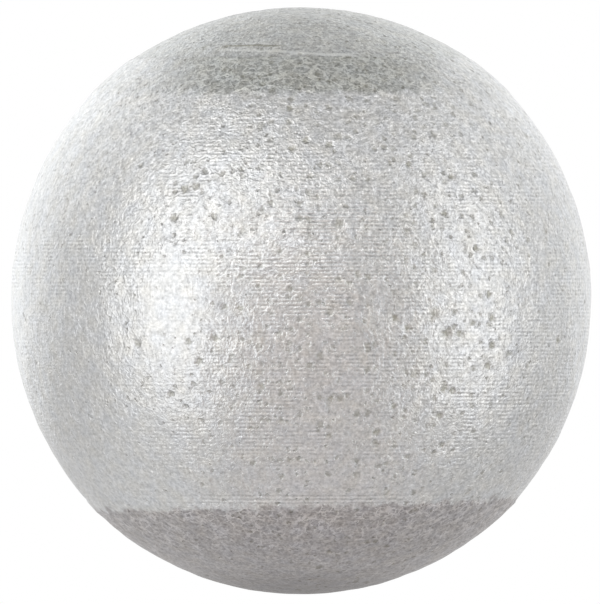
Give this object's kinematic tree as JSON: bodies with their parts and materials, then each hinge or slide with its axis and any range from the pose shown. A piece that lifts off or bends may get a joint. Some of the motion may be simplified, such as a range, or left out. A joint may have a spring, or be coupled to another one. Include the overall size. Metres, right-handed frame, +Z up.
{
  "type": "hollow steel ball",
  "caption": "Hollow bare steel ball with a pitted raw skin, a finely turned belt round its middle and a turned cap on top.",
  "frame": {"origin": "the ball's centre", "axes": "+Z up the axis that the ball was turned about, towards the turned cap; -Y to the front, the side that the picture shows"},
  "size_m": [0.0296, 0.0296, 0.0299],
  "materials": {
    "bare_steel": "bare and unpolished: fine turning rings on the belt and cap, dull raw skin between them, with shallow pits"
  },
  "bodies": {
    "root": {"hollow_ball": "bare_steel"}
  },
  "joints": []
}
